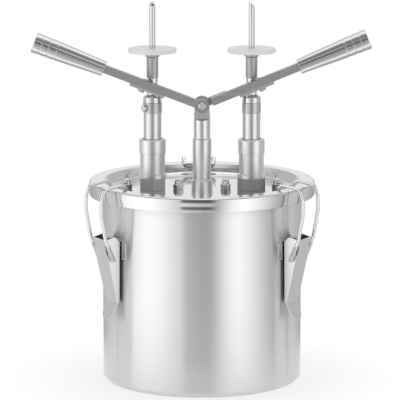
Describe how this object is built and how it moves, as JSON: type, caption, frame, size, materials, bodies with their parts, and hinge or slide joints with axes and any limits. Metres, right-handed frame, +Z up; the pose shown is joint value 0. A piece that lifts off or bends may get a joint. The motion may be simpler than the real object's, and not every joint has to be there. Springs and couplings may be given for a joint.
{
  "type": "donut filler",
  "caption": "Stainless donut filler: clamped-lid pot with twin hand-lever pumps, each pushing a sprung hollow plunger that feeds an upright filling needle.",
  "frame": {"origin": "centre of the pot's base, on the surface it stands on", "axes": "+Z up; the levers and pumps lie along X, the left lever towards -X; the front of the pot faces -Y"},
  "size_m": [0.4085, 0.2881, 0.4595],
  "materials": {
    "polished_steel": "polished stainless steel",
    "brushed_steel": "satin turned stainless steel",
    "satin_steel": "grey satin stainless steel",
    "nylon": "white moulded plastic",
    "silicone": "translucent white silicone",
    "ptfe": "white sliding plastic"
  },
  "bodies": {
    "root": {"pot_shell": "polished_steel", "lid_pan": "polished_steel", "lid_gasket": "silicone", "latch_brackets": "brushed_steel", "latch_pins": "polished_steel", "pivot_column": "brushed_steel", "column_nut": "brushed_steel", "pivot_bolt": "polished_steel", "pivot_nut": "brushed_steel", "left_pump_barrel": "brushed_steel", "right_pump_barrel": "brushed_steel", "flange_gaskets": "silicone", "lid_studs": "brushed_steel", "lid_cap_nuts": "polished_steel", "barrel_nuts": "satin_steel", "guide_housings": "brushed_steel", "gland_caps": "brushed_steel", "gland_seals": "ptfe", "foot_valves": "brushed_steel", "left_return_spring": "brushed_steel", "right_return_spring": "brushed_steel"},
    "left_lever": {"left_lever_bar": "satin_steel", "left_grip": "polished_steel", "left_yoke_plate": "satin_steel", "left_yoke_bolt": "polished_steel", "left_yoke_nut": "brushed_steel"},
    "left_plunger": {"left_plunger_tube": "polished_steel", "left_piston": "brushed_steel", "left_piston_seal": "ptfe", "left_dose_collar": "satin_steel", "left_plunger_cap": "polished_steel", "left_needle_stem": "polished_steel", "left_needle_sleeve": "satin_steel", "left_stop_disc": "nylon", "left_needle": "polished_steel", "dose_knob": "satin_steel"},
    "left_foot_valve_ball": {"left_foot_ball": "polished_steel"},
    "left_piston_valve_ball": {"left_piston_ball": "polished_steel"},
    "right_lever": {"right_lever_bar": "satin_steel", "right_grip": "polished_steel", "right_yoke_plate": "satin_steel", "right_yoke_bolt": "polished_steel", "right_yoke_nut": "brushed_steel"},
    "right_plunger": {"right_plunger_tube": "polished_steel", "right_piston": "brushed_steel", "right_piston_seal": "ptfe", "right_dose_collar": "satin_steel", "right_plunger_cap": "polished_steel", "right_needle_stem": "polished_steel", "right_needle_sleeve": "satin_steel", "right_stop_disc": "nylon", "right_needle": "polished_steel"},
    "right_foot_valve_ball": {"right_foot_ball": "polished_steel"},
    "right_piston_valve_ball": {"right_piston_ball": "polished_steel"},
    "rear_latch": {"rear_latch_lever": "satin_steel"},
    "rear_bail_wire": {"rear_bail": "polished_steel"},
    "left_latch": {"left_latch_lever": "satin_steel"},
    "left_bail_wire": {"left_bail": "polished_steel"},
    "right_latch": {"right_latch_lever": "satin_steel"},
    "right_bail_wire": {"right_bail": "polished_steel"}
  },
  "joints": [
    {"name": "left_lever_hinge", "type": "hinge", "parent": "root", "child": "left_lever", "pos_m": [0, 0, 0.3354], "axis": [0, -1, 0], "range_deg": [0, 28]},
    {"name": "left_plunger_slide", "type": "slide", "parent": "root", "child": "left_plunger", "axis": [0, 0, -1], "range_m": [0, 0.0288], "stiffness_N_per_m": 500, "springref_m": -0.045, "deforming": ["left_return_spring"]},
    {"name": "left_foot_ball_lift", "type": "slide", "parent": "root", "child": "left_foot_valve_ball", "axis": [0, 0, 1], "range_m": [0, 0.004]},
    {"name": "left_piston_ball_lift", "type": "slide", "parent": "left_plunger", "child": "left_piston_valve_ball", "axis": [0, 0, 1], "range_m": [0, 0.004]},
    {"name": "right_lever_hinge", "type": "hinge", "parent": "root", "child": "right_lever", "pos_m": [0, 0, 0.3354], "axis": [0, 1, 0], "range_deg": [0, 28]},
    {"name": "right_plunger_slide", "type": "slide", "parent": "root", "child": "right_plunger", "axis": [0, 0, -1], "range_m": [0, 0.0288], "stiffness_N_per_m": 500, "springref_m": -0.045, "deforming": ["right_return_spring"]},
    {"name": "right_foot_ball_lift", "type": "slide", "parent": "root", "child": "right_foot_valve_ball", "axis": [0, 0, 1], "range_m": [0, 0.004]},
    {"name": "right_piston_ball_lift", "type": "slide", "parent": "right_plunger", "child": "right_piston_valve_ball", "axis": [0, 0, 1], "range_m": [0, 0.004]},
    {"name": "rear_latch_hinge", "type": "hinge", "parent": "root", "child": "rear_latch", "pos_m": [-0.00424, 0.13503, 0.1758], "axis": [0.9995, 0.0314, 0], "range_deg": [0, 90]},
    {"name": "rear_bail_hinge", "type": "hinge", "parent": "rear_latch", "child": "rear_bail_wire", "pos_m": [-0.00417, 0.13283, 0.1611], "axis": [0.9995, 0.0314, 0], "range_deg": [-71, 0]},
    {"name": "left_latch_hinge", "type": "hinge", "parent": "root", "child": "left_latch", "pos_m": [-0.117, -0.06755, 0.1758], "axis": [-0.5, 0.866, 0], "range_deg": [0, 90]},
    {"name": "left_bail_hinge", "type": "hinge", "parent": "left_latch", "child": "left_bail_wire", "pos_m": [-0.1151, -0.06645, 0.1611], "axis": [-0.5, 0.866, 0], "range_deg": [-71, 0]},
    {"name": "right_latch_hinge", "type": "hinge", "parent": "root", "child": "right_latch", "pos_m": [0.117, -0.06755, 0.1758], "axis": [-0.5, -0.866, 0], "range_deg": [0, 90]},
    {"name": "right_bail_hinge", "type": "hinge", "parent": "right_latch", "child": "right_bail_wire", "pos_m": [0.1151, -0.06645, 0.1611], "axis": [-0.5, -0.866, 0], "range_deg": [-71, 0]}
  ],
  "couplings": [
    {"joint": "left_plunger_slide", "follows": "left_lever_hinge", "m_per_rad": 0.0585},
    {"joint": "right_plunger_slide", "follows": "right_lever_hinge", "m_per_rad": 0.0585},
    {"joint": "rear_bail_hinge", "follows": "rear_latch_hinge", "ratio": -0.785},
    {"joint": "left_bail_hinge", "follows": "left_latch_hinge", "ratio": -0.785},
    {"joint": "right_bail_hinge", "follows": "right_latch_hinge", "ratio": -0.785}
  ]
}
